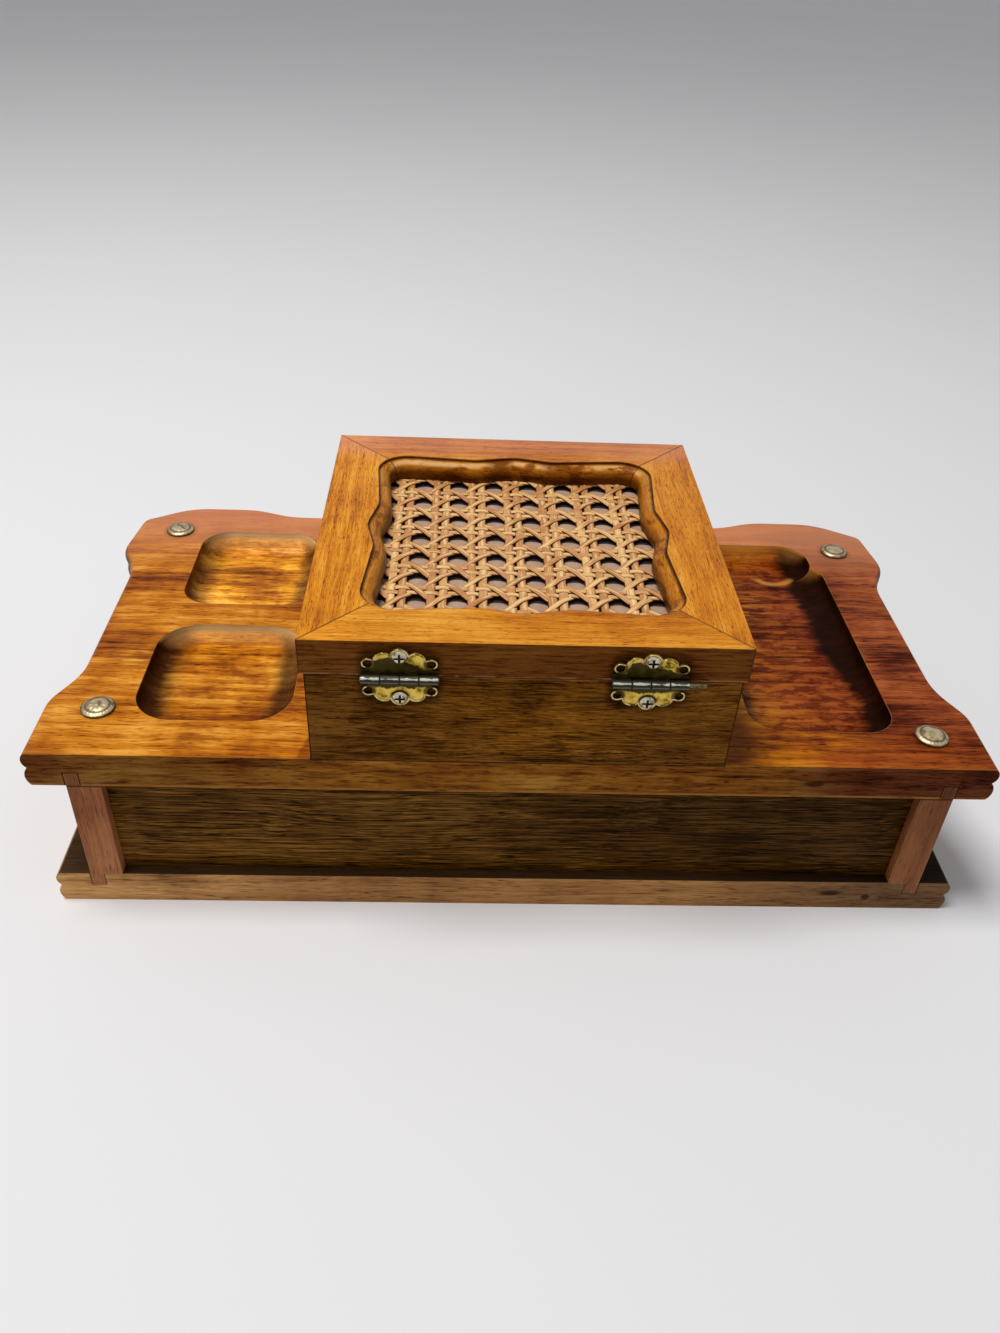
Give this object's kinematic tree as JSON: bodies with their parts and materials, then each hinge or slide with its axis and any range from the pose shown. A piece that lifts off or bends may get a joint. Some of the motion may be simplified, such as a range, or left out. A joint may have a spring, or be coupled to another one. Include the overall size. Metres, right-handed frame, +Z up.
{
  "type": "jewelry chest",
  "caption": "Dresser-top wooden jewelry chest: drawer between scalloped boards, coved coin trays in the wings, and a hinged cane-panelled lid box on top.",
  "frame": {"origin": "centre of the base board's underside, halfway along its length and its depth", "axes": "+X along the chest to its right end as seen from the drawer, -Y out of the drawer front, +Y to the hinges, +Z up"},
  "size_m": [0.304, 0.1612, 0.1105],
  "materials": {
    "walnut_board": "satin lacquer over red-brown stained hardwood",
    "panel_wood": "dark stained thin panel with open grain",
    "box_wood": "satin lacquer over dark brown stained hardwood",
    "lid_wood": "satin lacquer over honey stained hardwood",
    "drawer_wood": "plain sanded secondary wood",
    "cane": "woven cane, clear varnish",
    "backing_card": "grey-beige cloth-faced board",
    "felt": "brown felt",
    "hinge_brass": "polished stamped brass, darkened in the hollows",
    "antique_brass": "antique brass",
    "antique_silver": "antique silver-plated, dark in the hollows",
    "screw_steel": "nickel plated, slightly worn"
  },
  "bodies": {
    "chest": {"base_board": "walnut_board", "left_side": "walnut_board", "right_side": "walnut_board", "back_panel": "panel_wood", "top_board": "walnut_board", "corner_studs": "antique_silver", "box_back": "box_wood", "box_front": "box_wood", "box_left": "box_wood", "box_right": "box_wood", "box_lining": "felt", "left_hinge_leaf_lower": "hinge_brass", "left_hinge_pin": "screw_steel", "right_hinge_leaf_lower": "hinge_brass", "right_hinge_pin": "screw_steel", "hinge_screws_box": "screw_steel"},
    "lid": {"lid_rail_back": "lid_wood", "lid_rail_front": "lid_wood", "lid_rail_left": "lid_wood", "lid_rail_right": "lid_wood", "cane_panel": "cane", "lid_backing": "backing_card", "left_hinge_leaf_upper": "hinge_brass", "right_hinge_leaf_upper": "hinge_brass", "hinge_screws_lid": "screw_steel"},
    "drawer": {"drawer_front": "walnut_board", "drawer_side_left": "drawer_wood", "drawer_side_right": "drawer_wood", "drawer_back": "drawer_wood", "drawer_bottom": "drawer_wood", "drawer_lining": "felt", "drawer_knob_left": "antique_brass", "drawer_knob_right": "antique_brass", "knob_screws": "screw_steel"}
  },
  "joints": [
    {"name": "lid_hinge", "type": "hinge", "parent": "chest", "child": "lid", "pos_m": [0, 0.0796, 0.09835], "axis": [-1, 0, 0], "range_deg": [0, 180]},
    {"name": "drawer_slide", "type": "slide", "parent": "chest", "child": "drawer", "axis": [0, -1, 0], "range_m": [0, 0.11]}
  ]
}
